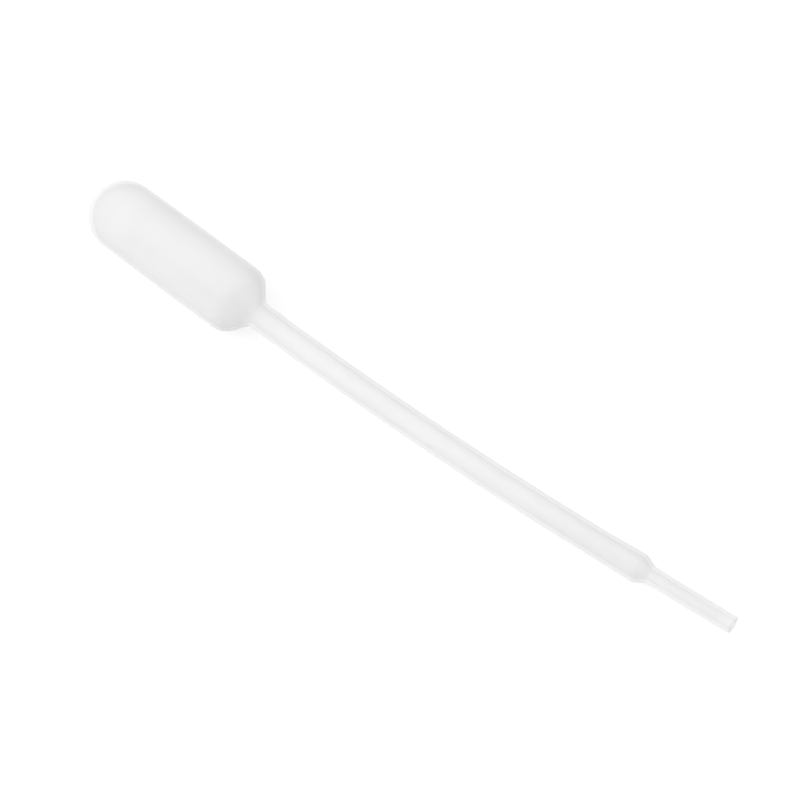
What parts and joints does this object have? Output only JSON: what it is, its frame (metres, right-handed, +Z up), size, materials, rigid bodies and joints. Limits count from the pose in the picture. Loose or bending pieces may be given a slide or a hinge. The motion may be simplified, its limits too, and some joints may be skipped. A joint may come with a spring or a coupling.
{
  "type": "dropper pipette",
  "caption": "One-piece squeeze pipette of soft translucent plastic: a round-ended bulb, a slender stem and a stepped-down open tip, lying on its side.",
  "frame": {"origin": "on the surface the pipette lies on, under the middle of its bounding box", "axes": "+X towards the open tip, +Z up, +Y across; the pipette lies on its side as it comes to rest"},
  "size_m": [0.15, 0.0152, 0.0151],
  "materials": {
    "plastic": "soft translucent milky polyethylene with a satin skin"
  },
  "bodies": {
    "root": {"pipette": "plastic"}
  },
  "joints": []
}
